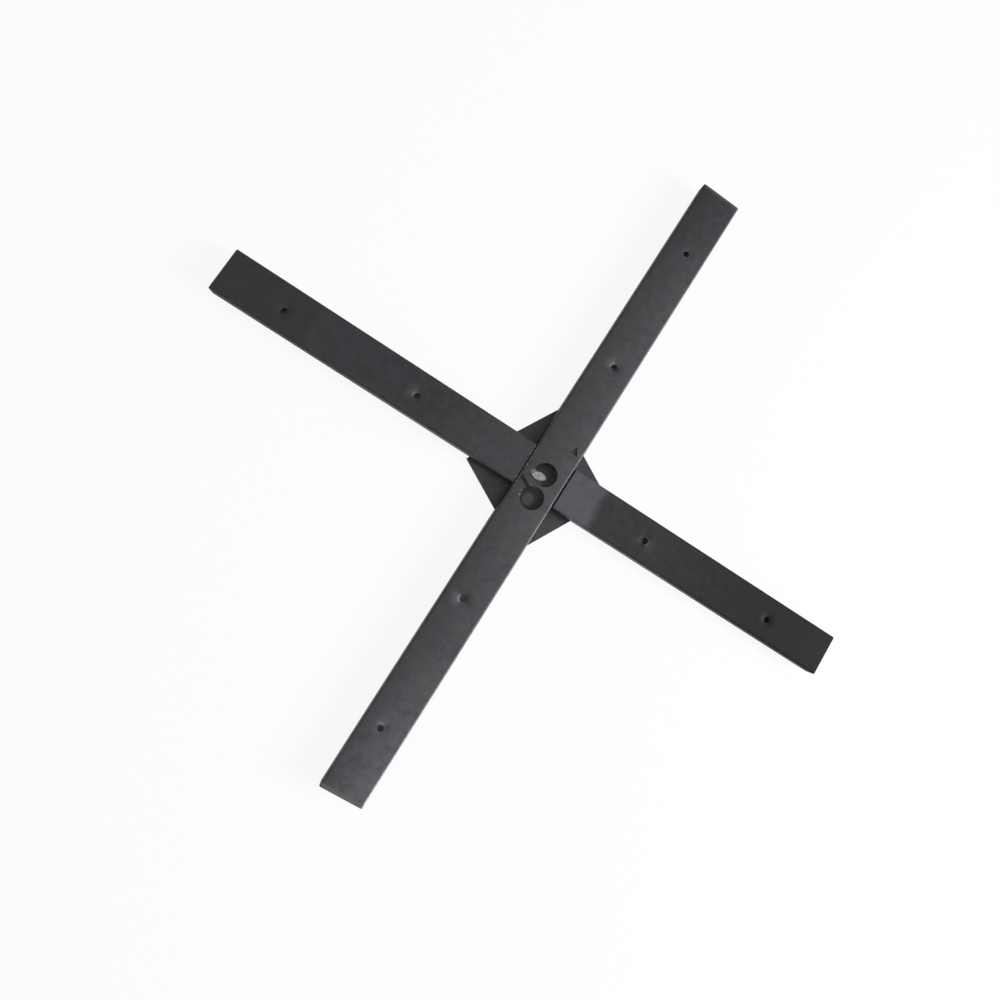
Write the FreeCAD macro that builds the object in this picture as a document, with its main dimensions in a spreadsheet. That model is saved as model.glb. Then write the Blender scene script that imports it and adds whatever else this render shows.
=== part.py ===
"""Cross frame of a table base: a long rectangular tube, two short tubes butted against it and a plate below.

The frame rests on the plate's underside. The origin is on that underside, below the crossing. The long
tube lies along Y and the short tubes along X. Lengths are in millimetres, angles in degrees.
"""
import FreeCAD, Part
import math
import os

import Sketcher
from FreeCAD import Vector

# Driving dimensions: name, value, what it is
DIMENSIONS = (
    ("span", 600.0, "length of each line of tubing, tip to tip"),
    ("tube_width", 38.1, "tube, outside, across"),
    ("tube_height", 19.05, "tube, outside, up and down"),
    ("tube_wall", 1.6, "tube, thickness of its sheet"),
    ("tube_corner", 2.0, "tube, outside corner radius"),
    ("seam_gap", 0.4, "open joint between a short tube and the long one"),
    ("screw_hole", 5.5, "diameter of the screw holes"),
    ("dimple_radius", 8.5, "reach of the pressed hollow round a screw hole"),
    ("dimple_throat", 3.6, "reach at which the pressed hollow is steepest"),
    ("dimple_depth", 1.2, "depth of the pressed hollow, on its axis"),
    ("north_inner", 112.0, "nearer screw hole of the long tube's +Y half, from the crossing"),
    ("north_outer", 235.5, "further screw hole of the long tube's +Y half, from the crossing"),
    ("north_shift", -0.9, "drift of those two holes off the middle line"),
    ("south_inner", 121.0, "nearer screw hole of the long tube's -Y half, from the crossing"),
    ("south_outer", 240.5, "further screw hole of the long tube's -Y half, from the crossing"),
    ("south_shift", 2.8, "drift of those two holes off the middle line"),
    ("west_inner", 123.0, "nearer screw hole of the short tube on -X, from the crossing"),
    ("west_outer", 245.0, "further screw hole of the short tube on -X, from the crossing"),
    ("west_shift", 2.0, "drift of those two holes off the middle line"),
    ("east_inner", 103.5, "nearer screw hole of the short tube on +X, from the crossing"),
    ("east_outer", 236.0, "further screw hole of the short tube on +X, from the crossing"),
    ("east_shift", -0.6, "drift of those two holes off the middle line"),
    ("cutter", 20.5, "diameter of the cutter that made the access holes"),
    ("centre_cut_x", 0.3, "access hole at the crossing, upper wall, x of its middle"),
    ("centre_cut_y", 0.8, "access hole at the crossing, upper wall, y of its middle"),
    ("stray_cut_x", 1.0, "misplaced hole beside it, upper wall, x of its middle"),
    ("stray_cut_y", -21.6, "misplaced hole beside it, upper wall, y of its middle"),
    ("lower_cut_x", -3.4, "opening above the plate's bore, lower wall, x of its middle"),
    ("lower_cut_y", 6.0, "opening above the plate's bore, lower wall, y of its middle"),
    ("pilot", 8.2, "diameter of the pilot hole that ran into the access hole at the crossing"),
    ("pilot_x", -8.3, "pilot hole, upper wall, x of its middle"),
    ("pilot_y", -2.8, "pilot hole, upper wall, y of its middle"),
    ("slip_length", 12.0, "slot of a slipped tool, from the seam into the misplaced hole"),
    ("slip_width", 2.0, "width of that slot"),
    ("slip_x", -11.3, "slot, upper wall, x of its middle"),
    ("slip_y", -13.5, "slot, upper wall, y of its middle"),
    ("slip_turn", 63.4, "angle between the slot and the tube's middle line"),
    ("nick_x", 10.5, "three-sided nick in the upper wall, x of its middle"),
    ("nick_y", 30.8, "three-sided nick in the upper wall, y of its middle"),
    ("nick_radius", 4.8, "reach of the nick from its middle"),
    ("nick_depth", 1.0, "depth of the nick"),
    ("plate_side", 90.0, "side of the square plate below the tubes"),
    ("plate_thickness", 4.0, "thickness of the plate"),
    ("plate_turn", -28.6, "angle by which the plate is turned from the tubes"),
    ("plate_x", -1.0, "middle of the plate, x from the crossing"),
    ("plate_y", -3.4, "middle of the plate, y from the crossing"),
    ("plate_bore", 14.0, "diameter of the bore in the middle of the plate"),
    ("plate_edge", 0.5, "broken edge round the plate's upper and lower faces"),
    ("bead_clearance", 1.0, "height left free between a weld bead and the plate's lower face"),
    ("bead_inset", 4.0, "shortfall of a weld bead at each end, against the tube's width"),
    ("bead_end", 1.2, "run-out at the ends of a weld bead"),
)

UP = Vector(0, 0, 1)
QUARTER_TURN = 90
FULL_TURN = 360

# A face whose unit normal rises by more than this is taken as a level one
LEVEL = 0.5

# Angle of each arm from the +X direction
ARM_TURNS = {"east": 0, "north": QUARTER_TURN, "west": 2 * QUARTER_TURN, "south": 3 * QUARTER_TURN}

doc = FreeCAD.newDocument("table_base_cross")

sheet = doc.addObject("Spreadsheet::Sheet", "Sizes")
for row, (alias, value, note) in enumerate(DIMENSIONS, start=1):
    sheet.set(f"A{row}", note)
    sheet.set(f"B{row}", str(value))
    sheet.setAlias(f"B{row}", alias)
doc.recompute()


# Values and links

def value_of(formula):
    """Number that a formula of sheet names stands for."""
    return float(sheet.evalExpression(formula))


def bind(sketch, number, name, formula):
    """Ties a constraint of a sketch to a formula of the sheet."""
    sketch.renameConstraint(number, name)
    sketch.setExpression(f"Constraints.{name}", formula)


def place(item, spot, turn):
    """Ties a piece's place and its turn about the vertical to formulas of the sheet."""
    item.Placement.Rotation = FreeCAD.Rotation(UP, value_of(turn))
    for axis, formula in zip("xyz", spot):
        item.setExpression(f"Placement.Base.{axis}", formula)
    item.setExpression("Placement.Rotation.Yaw", turn)


# Sketches

def new_body(name):
    body = doc.addObject("PartDesign::Body", name)
    body.Label = name
    return body


def new_sketch(body, name, role, offset):
    """Sketch on one of the body's own planes, moved by formulas for its local x, y and z."""
    sketch = body.newObject("Sketcher::SketchObject", name)
    plane = next(item for item in body.Origin.OriginFeatures if item.Role == role)
    sketch.AttachmentSupport = [(plane, "")]
    sketch.MapMode = "FlatFace"
    for axis, formula in zip("xyz", offset):
        sketch.setExpression(f"AttachmentOffset.Base.{axis}", formula)
    return sketch


def new_feature(body, kind, name, sketch):
    """Feature of the body made from a sketch."""
    feature = body.newObject(f"PartDesign::{kind}", name)
    feature.Profile = sketch
    return feature


def draw_rounded_rectangle(sketch, tag, width, height, radius):
    """Rectangle with round corners, middle on the sketch's origin; the sizes are formulas."""
    half_x = value_of(width) / 2
    half_y = value_of(height) / 2
    r = value_of(radius)
    corners = ((1, -1), (1, 1), (-1, 1), (-1, -1))
    arcs = []
    for quarter, (side_x, side_y) in enumerate(corners):
        middle = Vector(side_x * (half_x - r), side_y * (half_y - r), 0)
        start = (quarter - 1) * math.pi / 2
        arcs.append(Part.ArcOfCircle(Part.Circle(middle, UP, r), start, start + math.pi / 2))
    first = sketch.GeometryCount
    for arc_before, arc in zip(arcs[-1:] + arcs[:-1], arcs):
        sketch.addGeometry(Part.LineSegment(arc_before.EndPoint, arc.StartPoint))
        sketch.addGeometry(arc)
    lines = [first, first + 2, first + 4, first + 6]
    arcs = [first + 1, first + 3, first + 5, first + 7]
    for line, arc, next_line in zip(lines, arcs, lines[1:] + lines[:1]):
        sketch.addConstraint(Sketcher.Constraint("Tangent", line, 2, arc, 1))
        sketch.addConstraint(Sketcher.Constraint("Tangent", arc, 2, next_line, 1))
    for line, direction in zip(lines, ("Horizontal", "Vertical", "Horizontal", "Vertical")):
        sketch.addConstraint(Sketcher.Constraint(direction, line))
    for arc in arcs[1:]:
        sketch.addConstraint(Sketcher.Constraint("Equal", arcs[0], arc))
    sketch.addConstraint(Sketcher.Constraint("Symmetric", lines[0], 1, lines[2], 1, -1, 1))
    number = sketch.addConstraint(Sketcher.Constraint("Radius", arcs[0], r))
    bind(sketch, number, f"{tag}_radius", radius)
    number = sketch.addConstraint(Sketcher.Constraint("DistanceX", lines[3], 1, lines[1], 1, 2 * half_x))
    bind(sketch, number, f"{tag}_width", width)
    number = sketch.addConstraint(Sketcher.Constraint("DistanceY", lines[0], 1, lines[2], 1, 2 * half_y))
    bind(sketch, number, f"{tag}_height", height)


def draw_circle(sketch, diameter):
    """Circle round the sketch's origin."""
    size = value_of(diameter)
    sketch.addGeometry(Part.Circle(Vector(), UP, size / 2))
    sketch.addConstraint(Sketcher.Constraint("Coincident", 0, 3, -1, 1))
    number = sketch.addConstraint(Sketcher.Constraint("Diameter", 0, size))
    bind(sketch, number, "diameter", diameter)


def draw_polygon(sketch, sides, radius):
    """Regular outline round the sketch's origin, its first corner on the x axis."""
    reach = value_of(radius)
    spots = []
    for number in range(sides):
        turn = FreeCAD.Rotation(UP, FULL_TURN * number / sides)
        spots.append(turn.multVec(Vector(reach, 0, 0)))
    for start, end in zip(spots, spots[1:] + spots[:1]):
        sketch.addGeometry(Part.LineSegment(start, end))
    ring = sketch.addGeometry(Part.Circle(Vector(), UP, reach), True)
    sketch.addConstraint(Sketcher.Constraint("Coincident", ring, 3, -1, 1))
    for number in range(sides):
        follower = (number + 1) % sides
        sketch.addConstraint(Sketcher.Constraint("Coincident", number, 2, follower, 1))
        sketch.addConstraint(Sketcher.Constraint("PointOnObject", number, 1, ring))
    for number in range(1, sides):
        sketch.addConstraint(Sketcher.Constraint("Equal", 0, number))
    sketch.addConstraint(Sketcher.Constraint("PointOnObject", 0, 1, -1))
    number = sketch.addConstraint(Sketcher.Constraint("Radius", ring, reach))
    bind(sketch, number, "reach", radius)


def draw_pressed_profile(sketch, rise):
    """Half section of a pressed hollow: two tangent arcs, level at the rim and on the axis."""
    reach = value_of("dimple_radius")
    throat = value_of("dimple_throat")
    depth = value_of("dimple_depth")
    top = value_of(rise)
    # Two arcs that meet at the throat at this slope fall by the depth over the reach
    slope = 2 * math.atan(depth / reach)
    lower_radius = throat / math.sin(slope)
    shoulder_radius = (reach - throat) / math.sin(slope)
    rim = Vector(reach, 0, 0)
    bottom = Vector(0, -depth, 0)
    lower = Part.Circle(Vector(0, lower_radius - depth, 0), UP, lower_radius)
    shoulder = Part.Circle(Vector(reach, -shoulder_radius, 0), UP, shoulder_radius)
    sketch.addGeometry(Part.ArcOfCircle(lower, -math.pi / 2, slope - math.pi / 2))
    sketch.addGeometry(Part.ArcOfCircle(shoulder, math.pi / 2, math.pi / 2 + slope))
    sketch.addGeometry(Part.LineSegment(rim, Vector(reach, top, 0)))
    sketch.addGeometry(Part.LineSegment(Vector(reach, top, 0), Vector(0, top, 0)))
    sketch.addGeometry(Part.LineSegment(Vector(0, top, 0), bottom))
    # The lower arc runs outwards from the axis and the shoulder inwards from the rim, to one meeting point
    sketch.addConstraint(Sketcher.Constraint("Tangent", 0, 2, 1, 2))
    sketch.addConstraint(Sketcher.Constraint("Coincident", 1, 1, 2, 1))
    sketch.addConstraint(Sketcher.Constraint("Coincident", 2, 2, 3, 1))
    sketch.addConstraint(Sketcher.Constraint("Coincident", 3, 2, 4, 1))
    sketch.addConstraint(Sketcher.Constraint("Coincident", 4, 2, 0, 1))
    sketch.addConstraint(Sketcher.Constraint("Vertical", 2))
    sketch.addConstraint(Sketcher.Constraint("Horizontal", 3))
    sketch.addConstraint(Sketcher.Constraint("PointOnObject", 0, 1, -2))
    sketch.addConstraint(Sketcher.Constraint("PointOnObject", 3, 2, -2))
    sketch.addConstraint(Sketcher.Constraint("PointOnObject", 0, 3, -2))
    sketch.addConstraint(Sketcher.Constraint("PointOnObject", 1, 1, -1))
    sketch.addConstraint(Sketcher.Constraint("Vertical", 1, 3, 1, 1))
    number = sketch.addConstraint(Sketcher.Constraint("DistanceX", 4, 2, 0, 2, throat))
    bind(sketch, number, "throat", "Sizes.dimple_throat")
    number = sketch.addConstraint(Sketcher.Constraint("DistanceX", 4, 2, 2, 1, reach))
    bind(sketch, number, "reach", "Sizes.dimple_radius")
    number = sketch.addConstraint(Sketcher.Constraint("DistanceY", 0, 1, 1, 1, depth))
    bind(sketch, number, "depth", "Sizes.dimple_depth")
    number = sketch.addConstraint(Sketcher.Constraint("DistanceY", 2, 1, 2, 2, top))
    bind(sketch, number, "rise", rise)


def draw_quarter_round(sketch, leg):
    """Quarter of a disc: one leg along the sketch's x axis, the other down its y axis."""
    size = value_of(leg)
    side = Vector(size, 0, 0)
    foot = Vector(0, -size, 0)
    sketch.addGeometry(Part.LineSegment(Vector(), side))
    sketch.addGeometry(Part.ArcOfCircle(Part.Circle(Vector(), UP, size), -math.pi / 2, 0))
    sketch.addGeometry(Part.LineSegment(foot, Vector()))
    sketch.addConstraint(Sketcher.Constraint("Coincident", 0, 2, 1, 2))
    sketch.addConstraint(Sketcher.Constraint("Coincident", 1, 1, 2, 1))
    sketch.addConstraint(Sketcher.Constraint("Coincident", 2, 2, 0, 1))
    sketch.addConstraint(Sketcher.Constraint("Coincident", 0, 1, -1, 1))
    sketch.addConstraint(Sketcher.Constraint("Coincident", 1, 3, -1, 1))
    sketch.addConstraint(Sketcher.Constraint("Horizontal", 0))
    sketch.addConstraint(Sketcher.Constraint("Vertical", 2))
    number = sketch.addConstraint(Sketcher.Constraint("Radius", 1, size))
    bind(sketch, number, "leg", leg)


# Features of a tube, which lies along its own x axis with its middle line at height zero

TUBE_TOP = "Sizes.tube_height / 2"
TUBE_INSIDE_TOP = "Sizes.tube_height / 2 - Sizes.tube_wall"
TUBE_BOTTOM = "-Sizes.tube_height / 2"
TOOL_CLEARANCE = "Sizes.tube_wall / 2"


def add_tube_section(body, start, length):
    """Rectangular hollow section from start, over length."""
    sketch = new_sketch(body, f"{body.Name}_section", "YZ_Plane", ("0", "0", start))
    draw_rounded_rectangle(sketch, "outside", "Sizes.tube_width", "Sizes.tube_height", "Sizes.tube_corner")
    draw_rounded_rectangle(
        sketch,
        "inside",
        "Sizes.tube_width - 2 * Sizes.tube_wall",
        "Sizes.tube_height - 2 * Sizes.tube_wall",
        "Sizes.tube_corner - Sizes.tube_wall",
    )
    pad = new_feature(body, "Pad", f"{body.Name}_tube", sketch)
    pad.setExpression("Length", length)


def add_dimpled_hole(body, tag, along, across):
    """Screw hole through the upper wall, in a hollow pressed into that wall, sheet and all."""
    name = f"{body.Name}_{tag}"
    for kind, part, height, rise in (
        ("Revolution", "bulge", TUBE_INSIDE_TOP, TOOL_CLEARANCE),
        ("Groove", "hollow", TUBE_TOP, TOOL_CLEARANCE),
    ):
        # On this plane the sketch's own z runs along -Y
        sketch = new_sketch(body, f"{name}_{part}_profile", "XZ_Plane", (along, height, f"-({across})"))
        draw_pressed_profile(sketch, rise)
        turned = new_feature(body, kind, f"{name}_{part}", sketch)
        turned.ReferenceAxis = (sketch, ["V_Axis"])
        turned.Angle = FULL_TURN
    sketch = new_sketch(body, f"{name}_circle", "XY_Plane", (along, across, TUBE_TOP))
    draw_circle(sketch, "Sizes.screw_hole")
    drill = new_feature(body, "Pocket", f"{name}_drill", sketch)
    drill.setExpression("Length", TUBE_TOP)


def add_wall_cut(body, tag, along, across, diameter, from_below=False):
    """Round hole through one wall only, as deep as the tube's middle."""
    name = f"{body.Name}_{tag}"
    height = TUBE_BOTTOM if from_below else TUBE_TOP
    sketch = new_sketch(body, f"{name}_circle", "XY_Plane", (along, across, height))
    draw_circle(sketch, diameter)
    cut = new_feature(body, "Pocket", f"{name}_cut", sketch)
    cut.Reversed = from_below
    cut.setExpression("Length", TUBE_TOP)


def add_slip(body, along, across):
    """Slot that a slipped tool left in the upper wall, askew to the tube."""
    sketch = new_sketch(body, f"{body.Name}_slip_outline", "XY_Plane", (along, across, TUBE_TOP))
    sketch.setExpression("AttachmentOffset.Rotation.Yaw", "Sizes.slip_turn")
    draw_rounded_rectangle(sketch, "slip", "Sizes.slip_length", "Sizes.slip_width", "Sizes.slip_width / 4")
    slip = new_feature(body, "Pocket", f"{body.Name}_slip", sketch)
    slip.setExpression("Length", TUBE_TOP)


def add_nick(body, along, across):
    """Three-sided nick struck into the upper wall."""
    sketch = new_sketch(body, f"{body.Name}_nick_outline", "XY_Plane", (along, across, TUBE_TOP))
    draw_polygon(sketch, 3, "Sizes.nick_radius")
    nick = new_feature(body, "Pocket", f"{body.Name}_nick", sketch)
    nick.setExpression("Length", "Sizes.nick_depth")


# The pieces

TUBE_MIDDLE = "Sizes.plate_thickness + Sizes.tube_height / 2"
SHORT_START = "Sizes.tube_width / 2 + Sizes.seam_gap"
BEAD_LEG = "Sizes.plate_thickness - Sizes.bead_clearance"
BEAD_LENGTH = "Sizes.tube_width - 2 * Sizes.bead_inset"


def make_long_tube():
    """Through tube along Y. Its own x axis points to +Y, so its own y axis points to -X."""
    body = new_body("long_tube")
    add_tube_section(body, "-Sizes.span / 2", "Sizes.span")
    for side, sign in (("north", ""), ("south", "-")):
        for hole in ("inner", "outer"):
            add_dimpled_hole(body, f"{side}_{hole}", f"{sign}Sizes.{side}_{hole}", f"Sizes.{side}_shift")
    for cut in ("centre", "stray"):
        add_wall_cut(body, cut, f"Sizes.{cut}_cut_y", f"-Sizes.{cut}_cut_x", "Sizes.cutter")
    add_wall_cut(body, "lower", "Sizes.lower_cut_y", "-Sizes.lower_cut_x", "Sizes.cutter", from_below=True)
    add_wall_cut(body, "pilot", "Sizes.pilot_y", "-Sizes.pilot_x", "Sizes.pilot")
    add_slip(body, "Sizes.slip_y", "-Sizes.slip_x")
    add_nick(body, "Sizes.nick_y", "-Sizes.nick_x")
    place(body, ("0", "0", TUBE_MIDDLE), str(ARM_TURNS["north"]))
    return body


def make_short_tube(side):
    """Tube butted square against the long one. Its own x axis points outwards."""
    body = new_body(f"short_tube_{side}")
    add_tube_section(body, SHORT_START, f"Sizes.span / 2 - ({SHORT_START})")
    for hole in ("inner", "outer"):
        add_dimpled_hole(body, hole, f"Sizes.{side}_{hole}", f"Sizes.{side}_shift")
    place(body, ("0", "0", TUBE_MIDDLE), str(ARM_TURNS[side]))
    return body


def make_plate():
    """Square plate with a bore, its lower face on the floor."""
    body = new_body("mounting_plate")
    sketch = new_sketch(body, "plate_outline", "XY_Plane", ("0", "0", "0"))
    draw_polygon(sketch, 4, "Sizes.plate_side / sqrt(2)")
    pad = new_feature(body, "Pad", "plate_blank", sketch)
    pad.setExpression("Length", "Sizes.plate_thickness")
    doc.recompute()
    flats = [number for number, face in enumerate(pad.Shape.Faces, 1) if abs(face.normalAt(0, 0).z) > LEVEL]
    chamfer = body.newObject("PartDesign::Chamfer", "plate_broken_edge")
    chamfer.Base = (pad, [f"Face{number}" for number in flats])
    chamfer.setExpression("Size", "Sizes.plate_edge")
    sketch = new_sketch(body, "plate_bore_circle", "XY_Plane", ("0", "0", "Sizes.plate_thickness"))
    draw_circle(sketch, "Sizes.plate_bore")
    bore = new_feature(body, "Pocket", "plate_bore_drill", sketch)
    bore.Type = "ThroughAll"
    # The outline's first corner is on the body's x axis, half a quarter turn from the middle of a side
    place(body, ("Sizes.plate_x", "Sizes.plate_y", "0"), f"Sizes.plate_turn + {QUARTER_TURN / 2}")
    return body


def make_weld_bead(side):
    """Bead in the corner below a tube, along the plate's edge that crosses it."""
    arm_turn = ARM_TURNS[side]
    body = new_body(f"weld_bead_{side}")
    sketch = new_sketch(body, f"bead_section_{side}", "YZ_Plane", ("0", "0", f"-({BEAD_LENGTH}) / 2"))
    draw_quarter_round(sketch, BEAD_LEG)
    pad = new_feature(body, "Pad", f"bead_run_{side}", sketch)
    pad.setExpression("Length", BEAD_LENGTH)
    doc.recompute()
    rounds = [number for number, edge in enumerate(pad.Shape.Edges, 1) if isinstance(edge.Curve, Part.Circle)]
    chamfer = body.newObject("PartDesign::Chamfer", f"bead_ends_{side}")
    chamfer.Base = (pad, [f"Edge{number}" for number in rounds])
    chamfer.setExpression("Size", "Sizes.bead_end")
    # Where the middle line of the arm meets the plate's edge, whose outward direction is the arm's, turned
    outward = f"({arm_turn} + Sizes.plate_turn) * 1 deg"
    reach = (
        f"(Sizes.plate_side / 2 + Sizes.plate_x * cos({outward}) + Sizes.plate_y * sin({outward}))"
        " / cos(Sizes.plate_turn * 1 deg)"
    )
    spot_x = f"{reach} * cos({arm_turn} * 1 deg)"
    spot_y = f"{reach} * sin({arm_turn} * 1 deg)"
    # The bead runs along its own x axis, and its own y axis is turned outwards
    place(body, (spot_x, spot_y, "Sizes.plate_thickness"), f"{arm_turn} + Sizes.plate_turn - {QUARTER_TURN}")
    return body


def make_pieces():
    pieces = [make_long_tube()]
    for side in ("east", "west"):
        pieces.append(make_short_tube(side))
    pieces.append(make_plate())
    for side in ARM_TURNS:
        pieces.append(make_weld_bead(side))
    return pieces


# Tests before anything is written

def check(pieces):
    """Stops where an object failed, a cut removed nothing or a piece isn't one valid solid."""
    for item in doc.Objects:
        if "Invalid" in item.State or "Error" in item.State:
            raise RuntimeError(f"{item.Name} failed: {item.State}")
    removing = ("PartDesign::Pocket", "PartDesign::Groove", "PartDesign::Chamfer")
    for piece in pieces:
        for feature in piece.Group:
            base = getattr(feature, "BaseFeature", None)
            if base is None:
                continue
            grown = feature.Shape.Volume - base.Shape.Volume
            if (grown >= 0) if feature.TypeId in removing else (grown <= 0):
                raise RuntimeError(f"{feature.Name} changed the volume by {grown:.3f}")
        if piece.Shape.isNull() or not piece.Shape.isValid() or len(piece.Shape.Solids) != 1:
            raise RuntimeError(f"{piece.Label} isn't one valid solid")


def main():
    pieces = make_pieces()
    doc.recompute()
    check(pieces)
    os.makedirs("parts", exist_ok=True)
    for piece in pieces:
        piece.Shape.exportStep(f"parts/{piece.Label}.step")
        box = piece.Shape.BoundBox
        print(f"{piece.Label}: {piece.Shape.Volume:.0f} mm3, x {box.XMin:.1f} {box.XMax:.1f}, "
              f"y {box.YMin:.1f} {box.YMax:.1f}, z {box.ZMin:.2f} {box.ZMax:.2f}")


main()
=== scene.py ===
"""Looks of a table base's cross frame: satin charcoal paint over welded steel tube, on a pale floor."""

import math
import random

import bpy
from mathutils import Matrix, Vector


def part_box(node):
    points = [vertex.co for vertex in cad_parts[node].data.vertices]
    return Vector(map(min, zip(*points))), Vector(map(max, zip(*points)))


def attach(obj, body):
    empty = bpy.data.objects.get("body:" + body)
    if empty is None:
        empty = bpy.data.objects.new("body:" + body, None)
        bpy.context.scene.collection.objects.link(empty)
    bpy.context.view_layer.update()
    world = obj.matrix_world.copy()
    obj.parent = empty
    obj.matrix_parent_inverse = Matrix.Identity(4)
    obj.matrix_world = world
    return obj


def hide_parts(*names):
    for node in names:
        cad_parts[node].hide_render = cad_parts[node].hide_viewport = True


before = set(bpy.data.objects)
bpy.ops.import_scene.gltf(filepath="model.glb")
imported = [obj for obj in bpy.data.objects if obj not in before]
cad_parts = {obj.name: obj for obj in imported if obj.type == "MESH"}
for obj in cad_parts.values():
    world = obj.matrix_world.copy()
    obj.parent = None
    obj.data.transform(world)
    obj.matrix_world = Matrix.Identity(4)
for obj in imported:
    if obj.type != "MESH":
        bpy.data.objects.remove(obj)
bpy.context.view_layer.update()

MM = 0.001


# Sizes of the part that the looks follow, in millimetres, as the solids have them

TUBE_HALF_WIDTH = 19.05
TUBE_MIDDLE_HEIGHT = 13.525
TUBE_HALF_HEIGHT = 9.525
TUBE_TOP = TUBE_MIDDLE_HEIGHT + TUBE_HALF_HEIGHT
TUBE_WALL = 1.6
SPAN_HALF = 300
SEAM_GAP = 0.4
CUTTER_RADIUS = 10.25
CENTRE_CUT = (0.3, 0.8)
STRAY_CUT = (1.0, -21.6)
PILOT_RADIUS = 4.1
PILOT = (-8.3, -2.8)
SLIP = (-11.3, -13.5)
SLIP_TURN = math.radians(-26.6)
SLIP_LENGTH = 12
NICK = (10.5, 30.8)
NICK_RADIUS = 4.8
NICK_DEPTH = 1.0
PLATE_THICKNESS = 4
PLATE_TURN = math.radians(-28.6)
BEAD_LEG = 3
BEAD_LENGTH = 30.1


# Camera: where it stands in metres, how it is turned, and its lens, measured in the photo's pixels

CAMERA_PLACE = Vector((-0.0724, -0.0908, 0.7579))
CAMERA_AHEAD = Vector((0.17519, 0.17601, -0.96867))
CAMERA_RIGHT = Vector((0.82216, 0.51513, 0.24229))
PICTURE_SIDE = 1000
FOCAL_PIXELS = 880
PRINCIPAL_X = 630
PRINCIPAL_Y = 472
SENSOR = 36
NEAREST_SEEN = 0.01


def make_camera():
    data = bpy.data.cameras.new("camera")
    data.sensor_width = SENSOR
    data.lens = FOCAL_PIXELS / PICTURE_SIDE * SENSOR
    data.shift_x = 0.5 - PRINCIPAL_X / PICTURE_SIDE
    data.shift_y = PRINCIPAL_Y / PICTURE_SIDE - 0.5
    data.clip_start = NEAREST_SEEN
    camera = bpy.data.objects.new("camera", data)
    ahead = CAMERA_AHEAD.normalized()
    right = (CAMERA_RIGHT - CAMERA_RIGHT.dot(ahead) * ahead).normalized()
    up = right.cross(ahead)
    turn = Matrix((right, up, -ahead)).transposed()
    camera.matrix_world = Matrix.Translation(CAMERA_PLACE) @ turn.to_4x4()
    bpy.context.scene.collection.objects.link(camera)
    bpy.context.scene.camera = camera


# Light: a long lamp overhead that runs along the long tube, a low soft one on the +X side, and an even world

# Lamps: name, place in metres, width, length and watts
LAMPS = (
    ("overhead", (0.25, 0.15, 2.2), 0.6, 3.2, 11),
    ("side", (1.9, 0.3, 1.25), 0.7, 0.9, 52),
)
WORLD_TONE = (1, 1, 1, 1)
WORLD_STRENGTH = 0.3
SEEN_STRENGTH = 1


def make_lamp(name, place, width, length, watts):
    """Area lamp that shines towards the crossing; its length lies along Y as far as that allows."""
    data = bpy.data.lights.new(name, "AREA")
    data.shape = "RECTANGLE"
    data.size = width
    data.size_y = length
    data.energy = watts
    lamp = bpy.data.objects.new(name, data)
    lamp.location = place
    lamp.rotation_euler = Vector(place).to_track_quat("Z", "Y").to_euler()
    bpy.context.scene.collection.objects.link(lamp)


def seeing_rays(tree):
    """1 for rays that show the background: the camera's, mirrored ones and those through glass."""
    path = tree.nodes.new("ShaderNodeLightPath")
    largest = path.outputs["Is Camera Ray"]
    for name in ("Is Glossy Ray", "Is Transmission Ray"):
        node = tree.nodes.new("ShaderNodeMath")
        node.operation = "MAXIMUM"
        tree.links.new(largest, node.inputs[0])
        tree.links.new(path.outputs[name], node.inputs[1])
        largest = node.outputs[0]
    return largest


def make_lights():
    for lamp in LAMPS:
        make_lamp(*lamp)
    world = bpy.data.worlds.new("world")
    bpy.context.scene.world = world
    world.use_nodes = True
    tree = world.node_tree
    background = tree.nodes["Background"]
    background.inputs["Color"].default_value = WORLD_TONE
    strength = tree.nodes.new("ShaderNodeMapRange")
    strength.inputs["To Min"].default_value = WORLD_STRENGTH
    strength.inputs["To Max"].default_value = SEEN_STRENGTH
    tree.links.new(seeing_rays(tree), strength.inputs["Value"])
    tree.links.new(strength.outputs["Result"], background.inputs["Strength"])


# Materials, written in millimetres of the part's own frame

SHINE = 0.32

# Sockets of a mix node by number: the share, and both values and the result for plain numbers and for colours
MIX_SHARE = 0
MIX_NUMBERS = (2, 3, 0)
MIX_COLOURS = (6, 7, 2)


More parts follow.
